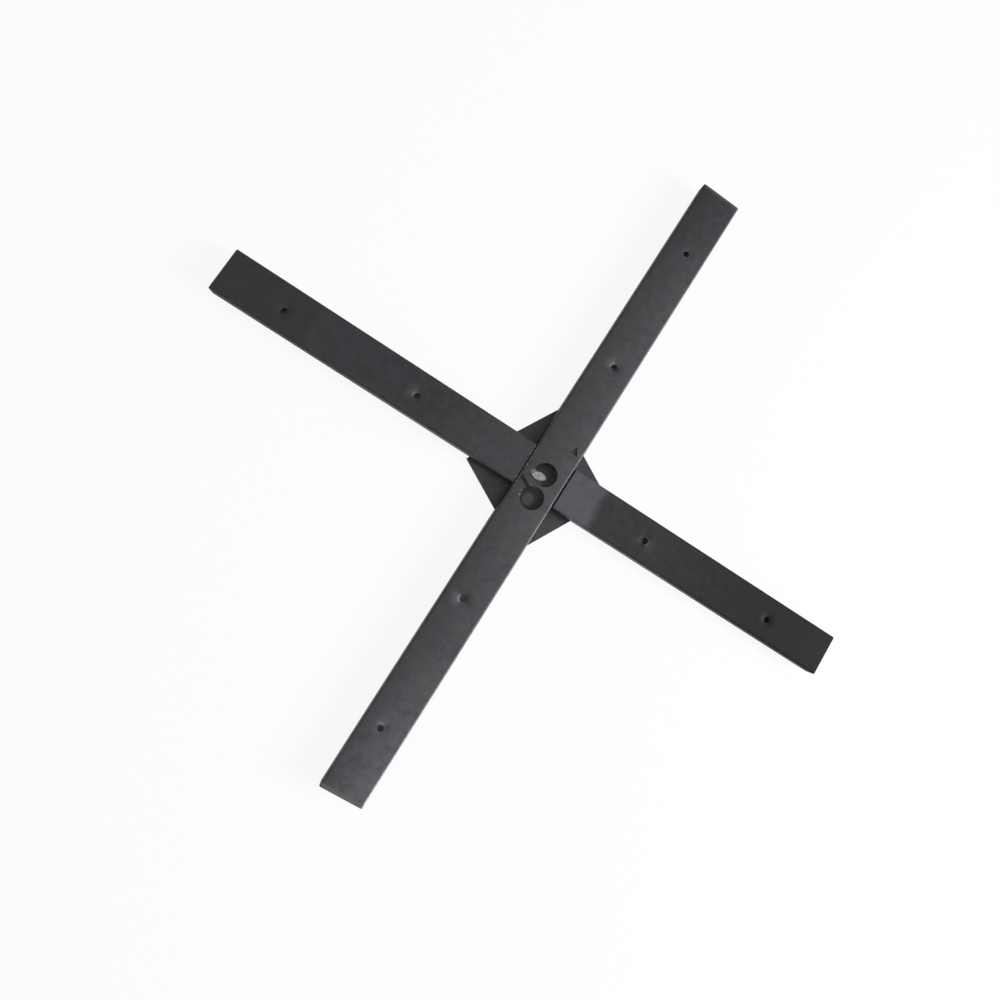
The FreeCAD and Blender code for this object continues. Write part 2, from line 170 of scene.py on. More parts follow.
class Shader:
    """A material under construction: each call adds nodes and gives back their output."""

    def __init__(self, name):
        self.material = bpy.data.materials.new(name)
        self.material.use_nodes = True
        self.tree = self.material.node_tree
        self.tree.nodes.clear()
        spot = self.add("ShaderNodeTexCoord").outputs["Object"]
        scaled = self.add("ShaderNodeVectorMath", {"operation": "SCALE"})
        self.plug(scaled.inputs[0], spot)
        scaled.inputs["Scale"].default_value = 1 / MM
        self.place = scaled.outputs[0]
        split = self.add("ShaderNodeSeparateXYZ", Vector=self.place)
        self.x, self.y, self.z = split.outputs

    def add(self, kind, settings=None, **inputs):
        node = self.tree.nodes.new(kind)
        for name, value in (settings or {}).items():
            setattr(node, name, value)
        for name, value in inputs.items():
            self.plug(node.inputs[name.replace("_", " ")], value)
        return node

    def plug(self, socket, value):
        if isinstance(value, bpy.types.NodeSocket):
            self.tree.links.new(value, socket)
        else:
            socket.default_value = value

    def math(self, operation, *values):
        node = self.add("ShaderNodeMath", {"operation": operation})
        for socket, value in zip(node.inputs, values):
            self.plug(socket, value)
        return node.outputs[0]

    def times(self, *values):
        """Product of shares."""
        product = values[0]
        for value in values[1:]:
            product = self.math("MULTIPLY", product, value)
        return product

    def either(self, *values):
        """Largest of shares."""
        largest = values[0]
        for value in values[1:]:
            largest = self.math("MAXIMUM", largest, value)
        return largest

    def step(self, value, low, high):
        """0 up to low and 1 from high on, smooth between; with low above high the other way round."""
        rising = low < high
        node = self.add("ShaderNodeMapRange", {"interpolation_type": "SMOOTHSTEP"}, Value=value)
        node.inputs["From Min"].default_value = min(low, high)
        node.inputs["From Max"].default_value = max(low, high)
        node.inputs["To Min"].default_value = 0 if rising else 1
        node.inputs["To Max"].default_value = 1 if rising else 0
        return node.outputs["Result"]

    def near(self, value, centre, reach, soft):
        """1 within reach of the centre, falling to 0 over the soft width."""
        away = self.math("ABSOLUTE", self.math("SUBTRACT", value, centre))
        return self.step(away, reach + soft, reach)

    def runs(self, spot):
        """Level distances from a spot along X and along Y."""
        return self.math("SUBTRACT", self.x, spot[0]), self.math("SUBTRACT", self.y, spot[1])

    def distance(self, spot):
        """Level distance from a spot."""
        run_x, run_y = self.runs(spot)
        squares = self.math("ADD", self.times(run_x, run_x), self.times(run_y, run_y))
        return self.math("SQRT", squares)

    def along(self, spot, turn):
        """Level distance from a spot, counted in the direction of a turn from +X."""
        run_x, run_y = self.runs(spot)
        return self.math("ADD", self.times(run_x, math.cos(turn)), self.times(run_y, math.sin(turn)))

    def noise(self, grain, detail, seed):
        """Noise from 0 to 1 whose grains are about that many millimetres across."""
        mapping = self.add("ShaderNodeMapping", Vector=self.place)
        mapping.inputs["Location"].default_value = (seed, seed, seed)
        node = self.add("ShaderNodeTexNoise", Vector=mapping.outputs[0], Scale=1 / grain, Detail=detail)
        return node.outputs["Fac"]

    def patches(self, grain, detail, seed, low, high):
        """Soft patches: 0 where such noise is under its low level, 1 where it is over the high one."""
        return self.step(self.noise(grain, detail, seed), low, high)

    def mix(self, share, first, second):
        """The first colour, changed into the second by a share from 0 to 1."""
        node = self.add("ShaderNodeMix", {"data_type": "RGBA"})
        return self.mixed(node, MIX_COLOURS, share, first, second)

    def blend(self, share, first, second):
        """Same as mix, for plain numbers."""
        node = self.add("ShaderNodeMix")
        return self.mixed(node, MIX_NUMBERS, share, first, second)

    def mixed(self, node, sockets, share, first, second):
        """Plugs the share and both values into a mix node and gives back its result."""
        first_socket, second_socket, result = sockets
        self.plug(node.inputs[MIX_SHARE], share)
        self.plug(node.inputs[first_socket], first)
        self.plug(node.inputs[second_socket], second)
        return node.outputs[result]

    def scale(self, colour, factor):
        """The colour, darker or lighter by a factor."""
        node = self.add("ShaderNodeVectorMath", {"operation": "SCALE"})
        self.plug(node.inputs[0], colour)
        self.plug(node.inputs["Scale"], factor)
        return node.outputs[0]

    def bump(self, height, distance, before=None):
        """Relief whose height of 1 stands for that many millimetres."""
        node = self.add("ShaderNodeBump", Height=height, Distance=distance * MM)
        node.inputs["Strength"].default_value = 1
        if before is not None:
            self.plug(node.inputs["Normal"], before)
        return node.outputs["Normal"]

    def finish(self, colour, roughness, normal, shade=None, metallic=0.0):
        """Surface shader; painted shade from 0 to 1 takes away colour and shine alike."""
        shine = SHINE
        if shade is not None:
            # What the painted shade leaves of the colour and the shine
            clean = self.math("SUBTRACT", 1, shade)
            colour = self.scale(colour, clean)
            shine = self.times(clean, SHINE)
        surface = self.add("ShaderNodeBsdfPrincipled", Base_Color=colour, Roughness=roughness, Normal=normal)
        self.plug(surface.inputs["Specular IOR Level"], shine)
        self.plug(surface.inputs["Metallic"], metallic)
        self.output(surface)
        return self.material

    def output(self, surface):
        """Makes a shader node the material's surface."""
        output = self.add("ShaderNodeOutputMaterial")
        self.plug(output.inputs["Surface"], surface.outputs[0])


# Tones, as shares of red, green, blue and alpha

# The darker paint tone, which also serves as the painted shade along the cuts' rims
PAINT_DARK_AND_SHADE = (0.020, 0.0203, 0.0228, 1)
PAINT_LIGHT = (0.041, 0.0415, 0.047, 1)
PAINT_WARM = (0.038, 0.038, 0.0362, 1)
PAINT_COOL = (0.033, 0.036, 0.044, 1)
# Tone of the painted highlight on the east arm near the crossing
PAINT_HIGHLIGHT = (0.066, 0.064, 0.086, 1)
PAINT_PLUM = (0.038, 0.0335, 0.037, 1)
# Worn paint, and the tone of the painted highlights on the screw holes and on the corner at +X
PAINT_WORN_AND_HIGHLIGHT = (0.15, 0.15, 0.165, 1)
BAND_TONE = (0.10, 0.098, 0.088, 1)
SOOT = (0.02, 0.018, 0.016, 1)
STEEL_BARE = (0.4, 0.4, 0.41, 1)
# Bright bare steel, also the tone of painted glints on rims and edges
BARE_STEEL_AND_GLINT = (0.42, 0.42, 0.43, 1)
STEEL_RUSTY = (0.33, 0.325, 0.32, 1)
STEEL_DARK = (0.06, 0.06, 0.066, 1)
SCALE_DARK = (0.08, 0.081, 0.086, 1)
SCALE_RUSTY = (0.06, 0.058, 0.055, 1)
# Painted light on the tube's floor and on the plate, seen through the cuts
LIT_SPOT_TONE = (0.2, 0.2, 0.185, 1)
LIT_TONE = (0.17, 0.172, 0.165, 1)
LIT_PLATE_TONE = (0.62, 0.62, 0.58, 1)


# Noise: width of a grain, detail and seed, and for patches the levels of the noise between which they appear

MOTTLE = (7, 6, 0)
SPECKLE = (1.6, 2, 40)
SHEEN = (3.5, 3, 10)
PAINT_GRAIN = (1.3, 3, 20)
PAINT_WAVES = (9, 3, 30)
WELD_GRAIN = (0.8, 2, 81)
SHEEN_WAVER = (14, 2, 27)
WARM_PATCHES = (28, 2, 90, 0.45, 0.75)
COOL_PATCHES = (22, 2, 95, 0.5, 0.75)
WEAR_PATCHES = (5, 4, 70, 0.48, 0.66)
HIGHLIGHT_PATCHES = (2.2, 2, 26, 0.42, 0.6)
RUST_PATCHES = (4, 4, 60, 0.42, 0.66)
SOOT_PATCHES = (5, 3, 80, 0.4, 0.7)
LONG_TUBE_SPECKS = (1.4, 2, 25, 0.5, 0.64)
SHORT_TUBE_SPECKS = (1.4, 2, 25, 0.54, 0.66)
GROUND_PATCHES = (2.6, 2, 33, 0.4, 0.6)


# Heights over which a mask rises from 0 to 1, or falls where the higher one comes first

IN_HOLLOWS = (TUBE_TOP - 2.65, TUBE_TOP - 2.05)
ABOVE_FLANKS = (TUBE_TOP - 2.25, TUBE_TOP - 1.25)
ON_FLANKS = (TUBE_TOP - 1.25, TUBE_TOP - 2.25)
ON_UPPER_WALL = (TUBE_TOP - 1.75, TUBE_TOP - 1.65)
ON_UPPER_CORNERS = (TUBE_TOP - 1.6, TUBE_TOP - 0.6)
ON_UPPER_EDGE = (TUBE_TOP - 0.55, TUBE_TOP - 0.15)
ON_TOP = (TUBE_TOP - 0.45, TUBE_TOP - 0.15)
BELOW_TOP = (TUBE_TOP - 0.15, TUBE_TOP - 0.25)
ABOVE_NICK_FLOOR = (TUBE_TOP - NICK_DEPTH - 0.15, TUBE_TOP - NICK_DEPTH - 0.05)
ON_TUBE_FLOOR = (7, 6)
ON_PLATE_TOP = (PLATE_THICKNESS - 0.6, PLATE_THICKNESS - 0.2)
ABOVE_PLATE_FOOT = (0.6, 0.8)


# Stripes across or along a tube: middle, reach to each side and softness

INSIDE_WIDTH = (0, TUBE_HALF_WIDTH - TUBE_WALL / 2, 0.1)
INSIDE_HEIGHT = (TUBE_MIDDLE_HEIGHT, TUBE_HALF_HEIGHT - 1.25, 0.05)
WORN_CORNER = (TUBE_HALF_WIDTH - 0.5, 0.35, 0.5)
EAST_CORNER = (TUBE_HALF_WIDTH - 0.6, 0.3, 0.3)
WEST_CORNER = (-TUBE_HALF_WIDTH + 1.1, 0.35, 0.4)
SEAM_LENGTH = (0, TUBE_HALF_WIDTH, 0.5)
SHORT_TUBE_END = (TUBE_HALF_WIDTH + SEAM_GAP, 0.2, 0.25)
SHORT_TUBE_EDGE = (TUBE_HALF_WIDTH + SEAM_GAP, 0.45, 0.4)


# Distances over which a mask rises from 0 to 1: across a tube, and outwards from the crossing

FLANKS = (TUBE_HALF_WIDTH - 0.6, TUBE_HALF_WIDTH - 0.1)
CLEAN_STEEL = (45, 75)


# Paint and steel that the pieces share: shares, levels of the noise, roughness, and relief in millimetres

SPECKLE_SHARE = 0.4
MOTTLE_LEVELS = (0.3, 0.7)
WARM_SHARE = 0.5
COOL_SHARE = 0.6
PAINT_ROUGHNESS = (0.4, 0.62)
INSIDE_ROUGHNESS = 0.62
PAINT_GRAIN_HEIGHT = 0.012
PAINT_WAVES_HEIGHT = 0.03


def painted(shader):
    """Mottled satin paint: its colour, its roughness and its relief."""
    share = shader.blend(SPECKLE_SHARE, shader.noise(*MOTTLE), shader.noise(*SPECKLE))
    colour = shader.mix(shader.step(share, *MOTTLE_LEVELS), PAINT_DARK_AND_SHADE, PAINT_LIGHT)
    colour = shader.mix(shader.times(shader.patches(*WARM_PATCHES), WARM_SHARE), colour, PAINT_WARM)
    colour = shader.mix(shader.times(shader.patches(*COOL_PATCHES), COOL_SHARE), colour, PAINT_COOL)
    roughness = shader.blend(shader.noise(*SHEEN), *PAINT_ROUGHNESS)
    normal = shader.bump(shader.noise(*PAINT_GRAIN), PAINT_GRAIN_HEIGHT)
    normal = shader.bump(shader.noise(*PAINT_WAVES), PAINT_WAVES_HEIGHT, normal)
    return colour, roughness, normal


def bare(shader, outwards):
    """Colour of the steel inside a tube and how metallic it looks: scaled at the crossing, clean far out."""
    rust = shader.patches(*RUST_PATCHES)
    clean = shader.step(outwards, *CLEAN_STEEL)
    scaled_tone = shader.mix(rust, SCALE_DARK, SCALE_RUSTY)
    clean_tone = shader.mix(rust, STEEL_BARE, STEEL_RUSTY)
    return shader.mix(clean, scaled_tone, clean_tone), clean


def inside_mask(shader, across):
    """1 on the inner faces of a tube, whose width lies along the given coordinate."""
    return shader.times(shader.near(across, *INSIDE_WIDTH), shader.near(shader.z, *INSIDE_HEIGHT))


def edge_wear(shader, across):
    """1 in patches along the long upper corners of a tube."""
    corner = shader.near(shader.math("ABSOLUTE", across), *WORN_CORNER)
    return shader.times(corner, shader.step(shader.z, *ON_UPPER_CORNERS), shader.patches(*WEAR_PATCHES))


def flank_mask(shader, across):
    """1 on the upright outer faces of a tube."""
    away = shader.math("ABSOLUTE", across)
    return shader.times(shader.step(away, *FLANKS), shader.step(shader.z, *ON_FLANKS))


# Screw holes with painted light: middle, turn of the side with the painted highlight from +X in degrees, its
# strength, and the strength of the painted shade on the other side

LONG_TUBE_HOLES = (
    ((0.9, 235.5), -60, 0.15, 0.1),
    ((0.9, 112), 158, 0.6, 0.3),
    ((-2.8, -121), 208, 1.0, 0.4),
    ((-2.8, -240.5), 105, 0.5, 0.1),
)
EAST_TUBE_HOLES = (((103.5, -0.6), -10, 1.0, 0.6),)
WEST_TUBE_HOLES = (((-123, -2), 160, 0.65, 0.3),)

# Their marks: distances from the hole's middle at which the bright and the faint part lie
CRESCENT = (3.7, 0.5, 1.2)
GLOW = (13, 3.5)
GLOW_SHARE = 0.42

# Half angles of the marks in radians, the share of each at full strength, and the least distance to divide by
LIT_HALF_ANGLE = 1.2
SHADED_HALF_ANGLE = 1.3
FULL_ANGLE_SHARE = 0.2
LEAST_DISTANCE = 0.1


def crescent(shader, hole, turn, half_angle):
    """1 on the slope of a screw hole's hollow on one side, given by its turn from +X and its half angle."""
    away = shader.distance(hole)
    facing = shader.math("DIVIDE", shader.along(hole, turn), shader.math("MAXIMUM", away, LEAST_DISTANCE))
    side = shader.step(facing, math.cos(half_angle), math.cos(half_angle * FULL_ANGLE_SHARE))
    bright = shader.near(away, *CRESCENT)
    faint = shader.times(shader.step(away, *GLOW), GLOW_SHARE)
    return shader.times(side, shader.either(bright, faint), shader.step(shader.z, *IN_HOLLOWS))


def screw_hole_light_and_shade(shader, colour, holes):
    """Paints a highlight on one side of each hole's hollow into the paint's colour, and gives the painted
    shade on the other side.
    """
    shade = 0.0
    for hole, degrees, highlight_strength, shade_strength in holes:
        turn = math.radians(degrees)
        # Painted highlight on the lit side, painted shade on the far side
        lit_side = shader.times(crescent(shader, hole, turn, LIT_HALF_ANGLE), highlight_strength)
        colour = shader.mix(lit_side, colour, PAINT_WORN_AND_HIGHLIGHT)
        shaded_side = shader.times(crescent(shader, hole, turn + math.pi, SHADED_HALF_ANGLE), shade_strength)
        shade = shader.either(shade, shaded_side)
    return colour, shade


# Marks and painted light of the long tube: distances over which they fade, how strong they are, and how much
# lighter the painted light makes the paint

LONG_TUBE_WEAR = 0.3
OFF_THE_CROSSING = (20, 45)
HIGHLIGHT_SHARES = (0.12, 0.6)
HIGHLIGHT_ON_ARMS = 0.4
SOUTH_FADE = (-120, -310)
SOUTH_HIGHLIGHT = 2.0
LIT_SIDE_PER_MM = 0.024
SOUTH_BAND = (-SPAN_HALF + 4.5, -SPAN_HALF + 2.5)
SOUTH_BAND_SHARE = 0.75
NORTH_BAND = (SPAN_HALF - 3.6, SPAN_HALF - 1.2)
NORTH_BAND_SHARE = 0.6
CUTS = ((CENTRE_CUT, CUTTER_RADIUS), (STRAY_CUT, CUTTER_RADIUS), (PILOT, PILOT_RADIUS))
RIM_WIDTH = 0.15
RIM_SHARE = 0.7
EAST_SPECKS_SHARES = (0.1, 0.3)
WEST_SPECKS_SHARE = 0.5

# Painted glints on the stray hole's rim: middle and strength of each, then how far all reach and fade
RIM_GLINTS = (((-9.4, -20.9), 0.22), ((-8.9, -24.4), 0.6), ((-5.2, -12.6), 0.16))
RIM_GLINT = (0, 0.3, 1.1)

# Painted shade beside the slot, in the nick, on the flanks and towards the north end: where it fades, how
# strong it is
BANK_OUTER = (3.2, 0.8)
BANK_INNER = (0.0, 0.3)
BANK_LENGTH = (0, SLIP_LENGTH / 2, 0.5)
BANK_SHADE = 0.6
NICK_RIM = (NICK_RADIUS + 0.2, NICK_RADIUS)
NICK_SLOPE = (8, 13)
NICK_SHADE = (0.28, 0.6)
LONG_FLANK_SHADE = 0.65
NORTH_FADE = (190, 290)
NORTH_SHADE = 0.2

# Painted light on the tube's floor where light falls through the cuts: middle, radii over which it fades, and
# tone
LIT_FLOOR_SPOTS = (
    ((0.0, -22.8), (6.6, 3.8), LIT_SPOT_TONE),
    ((-1.5, -6.5), (6.5, 3), LIT_TONE),
)


def long_tube_corners(shader, colour):
    """Worn patches along both upper corners, and a painted highlight along the one at +X."""
    colour = shader.mix(shader.times(edge_wear(shader, shader.x), LONG_TUBE_WEAR), colour, PAINT_WORN_AND_HIGHLIGHT)
    # Painted highlight where the rounded corner at +X catches the light
    highlighted = shader.times(shader.near(shader.x, *EAST_CORNER), shader.step(shader.z, *ABOVE_FLANKS))
    on_arms = shader.step(shader.math("ABSOLUTE", shader.y), *OFF_THE_CROSSING)
    patchy = shader.blend(shader.patches(*HIGHLIGHT_PATCHES), *HIGHLIGHT_SHARES)
    patchy = shader.math("ADD", patchy, shader.times(on_arms, HIGHLIGHT_ON_ARMS))
    return shader.mix(shader.times(highlighted, patchy), colour, PAINT_WORN_AND_HIGHLIGHT)


def long_tube_fades(shader, colour):
    """Painted light, lighter towards the south end and towards the side at +X where the light falls, and a
    worn band at both ends.
    """
    # Painted highlight towards the south end, and painted light across the tube towards +X
    colour = shader.scale(colour, shader.blend(shader.step(shader.y, *SOUTH_FADE), 1, SOUTH_HIGHLIGHT))
    colour = shader.scale(colour, shader.math("MULTIPLY_ADD", shader.x, LIT_SIDE_PER_MM, 1))
    south = shader.times(shader.step(shader.y, *SOUTH_BAND), SOUTH_BAND_SHARE)
    north = shader.times(shader.step(shader.y, *NORTH_BAND), NORTH_BAND_SHARE)
    return shader.mix(shader.either(south, north), colour, BAND_TONE)


def cut_marks(shader, colour, on_top):
    """Painted shade as a dark line along the rim of each cut, and painted glints on the stray one's rim."""
    for spot, radius in CUTS:
        # Painted shade along the rim
        rim = shader.near(shader.distance(spot), radius, RIM_WIDTH, RIM_WIDTH)
        rim = shader.times(rim, shader.step(shader.z, *ON_UPPER_WALL))
        colour = shader.mix(shader.times(rim, RIM_SHARE), colour, PAINT_DARK_AND_SHADE)
    # Painted glints where the stray hole's rim catches the light
    for spot, share in RIM_GLINTS:
        glint = shader.times(shader.near(shader.distance(spot), *RIM_GLINT), on_top, share)
        colour = shader.mix(glint, colour, BARE_STEEL_AND_GLINT)
    return colour


def seam_specks(shader, colour):
    """Specks of bare metal on the corners beside both seams, which also stand as painted glints of those
    edges.
    """
    on_seam = shader.near(shader.y, *SEAM_LENGTH)
    specks = shader.patches(*LONG_TUBE_SPECKS)
    east_corner = shader.times(shader.near(shader.x, *EAST_CORNER), on_seam)
    west_corner = shader.times(shader.near(shader.x, *WEST_CORNER), on_seam)
    east_specks = shader.times(east_corner, shader.blend(specks, *EAST_SPECKS_SHARES))
    west_specks = shader.times(west_corner, specks, WEST_SPECKS_SHARE)
    bright = shader.times(shader.either(east_specks, west_specks), shader.step(shader.z, *ABOVE_FLANKS))
    return shader.mix(bright, colour, BARE_STEEL_AND_GLINT)


def painted_shade_marks(shader, on_top):
    """Painted shade beside the slot, in the nick, on the flanks and towards the north end."""
    beside = shader.along(SLIP, SLIP_TURN + math.pi / 2)
    bank = shader.times(shader.step(beside, *BANK_OUTER), shader.step(beside, *BANK_INNER))
    bank = shader.times(bank, shader.near(shader.along(SLIP, SLIP_TURN), *BANK_LENGTH), on_top)
    nick = shader.times(shader.step(shader.distance(NICK), *NICK_RIM), shader.step(shader.z, *BELOW_TOP))
    slope = shader.blend(shader.step(shader.x, *NICK_SLOPE), *NICK_SHADE)
    nick = shader.times(nick, slope, shader.step(shader.z, *ABOVE_NICK_FLOOR))
    flank = shader.times(flank_mask(shader, shader.x), LONG_FLANK_SHADE)
    north_end = shader.times(shader.step(shader.y, *NORTH_FADE), NORTH_SHADE)
    return shader.either(shader.times(bank, BANK_SHADE), nick, flank, north_end)


def make_long_tube_material():
    shader = Shader("paint_long_tube")
    colour, roughness, normal = painted(shader)
    colour, hole_shade = screw_hole_light_and_shade(shader, colour, LONG_TUBE_HOLES)
    colour = long_tube_corners(shader, colour)
    colour = long_tube_fades(shader, colour)
    on_top = shader.step(shader.z, *ON_TOP)
    colour = cut_marks(shader, colour, on_top)
    colour = seam_specks(shader, colour)
    # Painted shade beside the screw holes, the slot and the nick, on the flank and towards the north end
    shade = shader.either(hole_shade, painted_shade_marks(shader, on_top))

    inner = inside_mask(shader, shader.x)
    steel, clean = bare(shader, shader.math("ABSOLUTE", shader.y))
    floor = shader.step(shader.z, *ON_TUBE_FLOOR)
    # Painted pools of light on the tube's floor under the cuts
    for spot, radii, tone in LIT_FLOOR_SPOTS:
        steel = shader.mix(shader.times(shader.step(shader.distance(spot), *radii), floor), steel, tone)
    colour = shader.mix(inner, colour, steel)
    roughness = shader.blend(inner, roughness, INSIDE_ROUGHNESS)
    return shader.finish(colour, roughness, normal, shade, shader.times(inner, clean))


# Marks of the short tubes, with places measured outwards from the crossing

SHORT_TUBE_WEAR = 0.2
SHEEN_LINE = (52, 62)
SHEEN_LINE_WAVER = 8
EAST_HIGHLIGHT_LIGHTER = 1.6
EAST_HIGHLIGHT_SHARE = 0.35
EAST_SHADE_FADE = (40, 270)
EAST_SHADE = (0.38, 0.69)
WEST_SHADE_FADE = (40, 110)
WEST_SHADE = (0.12, 0.29)
WEST_OUTER_FADE = (190, 230)
WEST_OUTER_SHADE = 0.38
PLUM_FADE = (180, 240)
PLUM_SHARE = 0.6
END_BARE_SHARE = 0.7
EDGE_SPECKS_SHARE = 0.5
GAP_FADE = (TUBE_HALF_WIDTH + 1.7, TUBE_HALF_WIDTH + 1.2)
EAST_GAP_SHADE = 0.8
WEST_GAP_SHADE = 0.3
FLANK_FADE = (90, 200)
SHORT_FLANK_SHADE = (0.4, 0.85)


def east_sheen_and_shade(shader, colour, outwards):
    """Painted shade beyond the line across the arm where its sheen changes, and a painted highlight inside
    it.
    """
    # The line across the arm where its sheen changes, with painted shade beyond it and a painted highlight
    # inside it
    line = shader.math("ADD", outwards, shader.times(shader.noise(*SHEEN_WAVER), SHEEN_LINE_WAVER))
    beyond = shader.step(line, *SHEEN_LINE)
    painted_shade = shader.times(beyond, shader.blend(shader.step(outwards, *EAST_SHADE_FADE), *EAST_SHADE))
    highlight = shader.mix(EAST_HIGHLIGHT_SHARE, shader.scale(colour, EAST_HIGHLIGHT_LIGHTER), PAINT_HIGHLIGHT)
    return shader.mix(beyond, highlight, colour), painted_shade


def west_painted_shade(shader, outwards):
    """Painted shade that grows outwards in two steps."""
    near_shade = shader.blend(shader.step(outwards, *WEST_SHADE_FADE), *WEST_SHADE)
    return shader.either(near_shade, shader.times(shader.step(outwards, *WEST_OUTER_FADE), WEST_OUTER_SHADE))


def bare_end(shader, colour, outwards):
    """The cut end at the seam: bare, with bright specks on its upper edge that are bare metal and painted
    glints as well.
    """
    at_seam = shader.near(outwards, *SHORT_TUBE_END)
    edge = shader.times(shader.near(outwards, *SHORT_TUBE_EDGE), shader.step(shader.z, *ON_UPPER_EDGE))
    edge = shader.times(edge, shader.patches(*SHORT_TUBE_SPECKS))
    colour = shader.mix(shader.times(at_seam, END_BARE_SHARE), colour, SCALE_RUSTY)
    return shader.mix(shader.times(edge, EDGE_SPECKS_SHARE), colour, BARE_STEEL_AND_GLINT)


def make_short_tube_material(side):
    """Material of the tube towards +X for a side of 1, towards -X for -1."""
    east = side > 0
    shader = Shader("paint_short_tube_east" if east else "paint_short_tube_west")
    colour, roughness, normal = painted(shader)
    outwards = shader.times(shader.x, side)
    colour = shader.mix(shader.times(edge_wear(shader, shader.y), SHORT_TUBE_WEAR), colour, PAINT_WORN_AND_HIGHLIGHT)
    colour, hole_shade = screw_hole_light_and_shade(shader, colour, EAST_TUBE_HOLES if east else WEST_TUBE_HOLES)
    # Painted sheen and shade along the arm
    if east:
        colour, painted_shade = east_sheen_and_shade(shader, colour, outwards)
    else:
        painted_shade = west_painted_shade(shader, outwards)
    colour = shader.mix(shader.times(shader.step(outwards, *PLUM_FADE), PLUM_SHARE), colour, PAINT_PLUM)
    colour = bare_end(shader, colour, outwards)
    # Painted shade at the seam's gap and on the side faces
    gap = shader.times(shader.step(outwards, *GAP_FADE), EAST_GAP_SHADE if east else WEST_GAP_SHADE)
    flank_shade = shader.blend(shader.step(outwards, *FLANK_FADE), *SHORT_FLANK_SHADE)
    flank = shader.times(flank_mask(shader, shader.y), flank_shade)
    shade = shader.either(painted_shade, hole_shade, gap, flank)

    inner = inside_mask(shader, shader.y)
    steel, clean = bare(shader, outwards)
    colour = shader.mix(inner, colour, steel)
    roughness = shader.blend(inner, roughness, INSIDE_ROUGHNESS)
    return shader.finish(colour, roughness, normal, shade, shader.times(inner, clean))


# Marks of the plate: what the long tube covers, a painted pool of light seen through the cuts, and painted
# shade beside the short tubes

COVERED_WIDTH = (0, TUBE_HALF_WIDTH - 1, 0.2)
COVERED_LENGTH = (0, 24, 0.5)
LIT_PLATE_SPOT = (-8.2, -1.2)
LIT_PLATE_RADII = (4.4, 3.2)
PLATE_SHADE = 0.3
PLATE_SHADE_BESIDE = (5, 0)
PLATE_SHADE_SOUTH = (0, -1)
PLATE_SHADE_OUTSIDE = (TUBE_HALF_WIDTH, TUBE_HALF_WIDTH + 2)


def make_plate_material():
    shader = Shader("paint_plate")
    colour, roughness, normal = painted(shader)
    covered = shader.times(shader.near(shader.x, *COVERED_WIDTH), shader.near(shader.y, *COVERED_LENGTH))
    covered = shader.times(covered, shader.step(shader.z, *ABOVE_PLATE_FOOT))
    colour = shader.mix(covered, colour, STEEL_DARK)
    # Painted light where light falls through the cuts onto the plate
    lit_spot = shader.times(covered, shader.step(shader.distance(LIT_PLATE_SPOT), *LIT_PLATE_RADII))
    colour = shader.mix(lit_spot, colour, LIT_PLATE_TONE)
    # Painted shade on the plate beside the short tubes' south sides
    beside = shader.math("SUBTRACT", shader.math("ABSOLUTE", shader.y), TUBE_HALF_WIDTH)
    shade = shader.times(shader.step(beside, *PLATE_SHADE_BESIDE), shader.step(shader.y, *PLATE_SHADE_SOUTH))
    shade = shader.times(shade, shader.step(shader.z, *ON_PLATE_TOP), PLATE_SHADE)
    outside = shader.step(shader.math("ABSOLUTE", shader.x), *PLATE_SHADE_OUTSIDE)
    return shader.finish(colour, roughness, normal, shader.times(shade, outside))


# Marks of the weld beads

WELD_SOOT_SHARE = 0.6
WELD_GRAIN_HEIGHT = 0.05


def make_weld_material():
    shader = Shader("paint_weld")
    colour, roughness, normal = painted(shader)
    colour = shader.mix(shader.times(shader.patches(*SOOT_PATCHES), WELD_SOOT_SHARE), colour, SOOT)
    normal = shader.bump(shader.noise(*WELD_GRAIN), WELD_GRAIN_HEIGHT, normal)
    return shader.finish(colour, roughness, normal)


# Visual pieces

def add_piece(name, points, faces, material):
    """Smooth mesh that rides on the part's one body."""
    mesh = bpy.data.meshes.new(name)
    mesh.from_pydata([tuple(point) for point in points], [], faces)
    mesh.update()
    for polygon in mesh.polygons:
        polygon.use_smooth = True
    mesh.materials.append(material)
    piece = bpy.data.objects.new(name, mesh)
    bpy.context.scene.collection.objects.link(piece)
    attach(piece, "root")
    return piece


# Weld beads: name, and turn of the plate's edge that each lies at, before the plate's own turn
BEADS = (
    ("weld_bead_east", 0),
    ("weld_bead_north", math.pi / 2),
    ("weld_bead_west", math.pi),
    ("weld_bead_south", 3 * math.pi / 2),
)
BEAD_SEED = 7

# Ripples along a bead, stations along and steps round its surface, and length of its rounded ends
BEAD_RIPPLES = 17
BEAD_STATIONS = 136
BEAD_STEPS = 10
BEAD_RUNOUT = 1.6

# Shares of a bead's leg: its plain reach, what a ripple's edge adds, and how far it wanders to both sides
BODY_SHARE = 0.84
RIPPLE_SHARE = 0.10
WANDER_SHARE = 0.04

# Share of its reach that a bead keeps at its very ends
END_SHARE = 0.25

# Form of the ripples and of the wander, the last in radians: along the whole bead, and by its random shift
RIPPLE_BOW = 0.22
RIPPLE_STEEPNESS = 1.7
WANDER_ALONG = 11
WANDER_BY_SHIFT = 3


def bead_reach(share, angle, shift):
    """Reach of a bead's surface from its corner line, at a share of its length and an angle from level."""
    ripple = (share * BEAD_RIPPLES + RIPPLE_BOW * math.sin(2 * angle) + shift) % 1
    ripple_edge = RIPPLE_SHARE * (1 - ripple ** RIPPLE_STEEPNESS)
    end = min(share, 1 - share) * BEAD_LENGTH / BEAD_RUNOUT
    runout = 1 if end >= 1 else math.sqrt(max(0.0, 1 - (1 - end) ** 2))
    wander = WANDER_SHARE * math.sin(share * WANDER_ALONG + WANDER_BY_SHIFT * shift)
    return BEAD_LEG * (BODY_SHARE + ripple_edge + wander) * (END_SHARE + (1 - END_SHARE) * runout)


